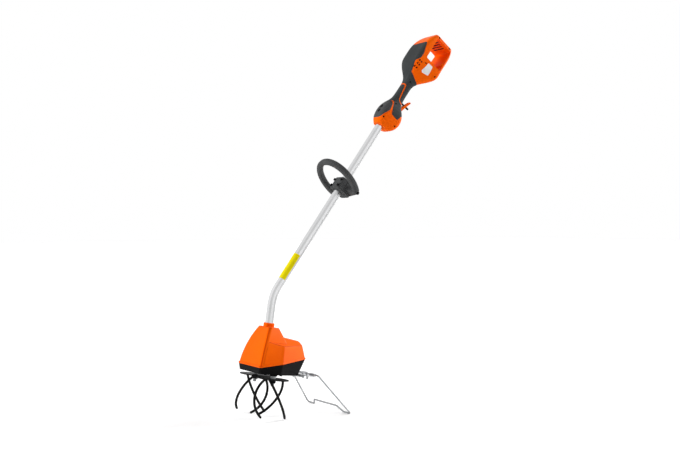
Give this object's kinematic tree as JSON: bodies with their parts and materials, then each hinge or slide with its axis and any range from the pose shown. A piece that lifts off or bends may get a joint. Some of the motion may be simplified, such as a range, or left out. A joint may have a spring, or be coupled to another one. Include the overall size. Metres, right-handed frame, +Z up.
{
  "type": "cordless cultivator",
  "caption": "Battery garden cultivator with counter-turning tine rotors under a geared head, bent shaft tube, sliding loop handle, trigger grip with open battery bay and folding wire stand.",
  "frame": {"origin": "middle of the footprint on the floor, parked on the wire stand", "axes": "+Z up, +Y towards the operator, +X the machine's left"},
  "size_m": [0.2444, 0.7764, 1.2204],
  "materials": {
    "orange_shell": "moulded, satin",
    "dark_plastic": "moulded, fine grain",
    "grey_soft": "soft moulded",
    "tube_alloy": "anodised",
    "black_paint": "gloss coat",
    "zinc_steel": "zinc plated",
    "gear_steel": "machined",
    "cast_alloy": "die cast",
    "motor_steel": "coated",
    "contact_brass": "bare",
    "seal_rubber": "matt",
    "board_green": "coated board",
    "cable_black": "matt jacket"
  },
  "bodies": {
    "frame": {"handle_left_shell": "orange_shell", "handle_right_shell": "orange_shell", "keypad_panel": "grey_soft", "control_pins": "zinc_steel", "trigger_spring": "zinc_steel", "trigger_switch": "dark_plastic", "control_board": "board_green", "battery_terminal_block": "dark_plastic", "battery_contacts": "contact_brass", "battery_guide_rail": "orange_shell", "handle_screws": "zinc_steel", "shaft_tube": "tube_alloy", "motor_cable": "cable_black", "head_cover": "orange_shell", "base_tub": "dark_plastic", "neck_collar": "orange_shell", "neck_screw": "zinc_steel", "gear_plate": "cast_alloy", "plate_screws": "zinc_steel", "base_screws": "zinc_steel", "drive_motor": "motor_steel", "stand_bracket": "zinc_steel", "stand_bolts": "zinc_steel", "idler_pins": "gear_steel", "lower_bearings": "gear_steel", "upper_bushes": "contact_brass", "shaft_seals": "seal_rubber"},
    "rotor_left": {"left_output_shaft": "zinc_steel", "left_output_gear": "gear_steel", "left_tine_disc": "black_paint", "left_tines": "black_paint", "left_hub_nut": "black_paint"},
    "rotor_right": {"right_output_shaft": "zinc_steel", "right_output_gear": "gear_steel", "right_tine_disc": "black_paint", "right_tines": "black_paint", "right_hub_nut": "black_paint"},
    "idler_left": {"idler_gear_left": "gear_steel"},
    "idler_right": {"idler_gear_right": "gear_steel"},
    "layshaft_body": {"layshaft": "gear_steel", "layshaft_pinion": "gear_steel", "reduction_gear": "gear_steel"},
    "motor_rotor": {"motor_shaft": "gear_steel", "motor_pinion": "gear_steel"},
    "trigger": {"power_trigger": "orange_shell"},
    "lockout": {"trigger_lockout": "dark_plastic"},
    "power_button_body": {"power_button": "dark_plastic"},
    "mode_button_body": {"mode_button": "dark_plastic"},
    "loop": {"loop_handle": "grey_soft", "loop_clamp_cap": "grey_soft", "loop_clamp_bolts": "zinc_steel", "loop_cross_bolt": "zinc_steel", "loop_cross_nut": "zinc_steel"},
    "stand": {"stand_wire": "zinc_steel"}
  },
  "joints": [
    {"name": "rotor_left_spin", "type": "hinge", "parent": "frame", "child": "rotor_left", "pos_m": [0.05375, -0.32391, 0.11983], "axis": [0, 0.1478, 0.989], "continuous": true},
    {"name": "rotor_right_spin", "type": "hinge", "parent": "frame", "child": "rotor_right", "pos_m": [-0.05375, -0.32391, 0.11983], "axis": [0, 0.1478, 0.989], "continuous": true},
    {"name": "idler_left_spin", "type": "hinge", "parent": "frame", "child": "idler_left", "pos_m": [0.02187, -0.32022, 0.14455], "axis": [0, 0.1478, 0.989], "continuous": true},
    {"name": "idler_right_spin", "type": "hinge", "parent": "frame", "child": "idler_right", "pos_m": [-0.02187, -0.32022, 0.14455], "axis": [0, 0.1478, 0.989], "continuous": true},
    {"name": "layshaft_spin", "type": "hinge", "parent": "frame", "child": "layshaft_body", "pos_m": [0.01183, -0.29661, 0.11575], "axis": [0, 0.1478, 0.989], "continuous": true},
    {"name": "motor_spin", "type": "hinge", "parent": "frame", "child": "motor_rotor", "pos_m": [0, -0.26298, 0.11072], "axis": [0, 0.1478, 0.989], "continuous": true},
    {"name": "trigger_pull", "type": "hinge", "parent": "frame", "child": "trigger", "pos_m": [0, 0.17773, 0.95859], "axis": [1, 0, 0], "range_deg": [0, 14], "stiffness_Nm_per_rad": 0.35, "springref_deg": -20.05},
    {"name": "lockout_swing", "type": "hinge", "parent": "frame", "child": "lockout", "pos_m": [0, 0.1893, 0.9874], "axis": [1, 0, 0], "range_deg": [0, 12], "stiffness_Nm_per_rad": 0.08, "springref_deg": -22.92},
    {"name": "power_button_press", "type": "slide", "parent": "frame", "child": "power_button_body", "axis": [0, 0.8007, -0.599], "range_m": [0, 0.001], "stiffness_N_per_m": 600, "springref_m": -0.002},
    {"name": "mode_button_press", "type": "slide", "parent": "frame", "child": "mode_button_body", "axis": [0, 0.8007, -0.599], "range_m": [0, 0.001], "stiffness_N_per_m": 600, "springref_m": -0.002},
    {"name": "loop_adjust", "type": "slide", "parent": "frame", "child": "loop", "axis": [0, 0.599, 0.8007], "range_m": [-0.12, 0.1]},
    {"name": "stand_fold", "type": "hinge", "parent": "frame", "child": "stand", "pos_m": [0, -0.18033, 0.1192], "axis": [1, 0, 0], "range_deg": [0, 100]}
  ],
  "couplings": [
    {"joint": "rotor_right_spin", "follows": "rotor_left_spin", "ratio": -1},
    {"joint": "idler_left_spin", "follows": "rotor_left_spin", "ratio": -0.45714},
    {"joint": "idler_right_spin", "follows": "rotor_left_spin", "ratio": 0.45714},
    {"joint": "layshaft_spin", "follows": "rotor_left_spin", "ratio": 1.3333},
    {"joint": "motor_spin", "follows": "rotor_left_spin", "ratio": -6.6667}
  ]
}
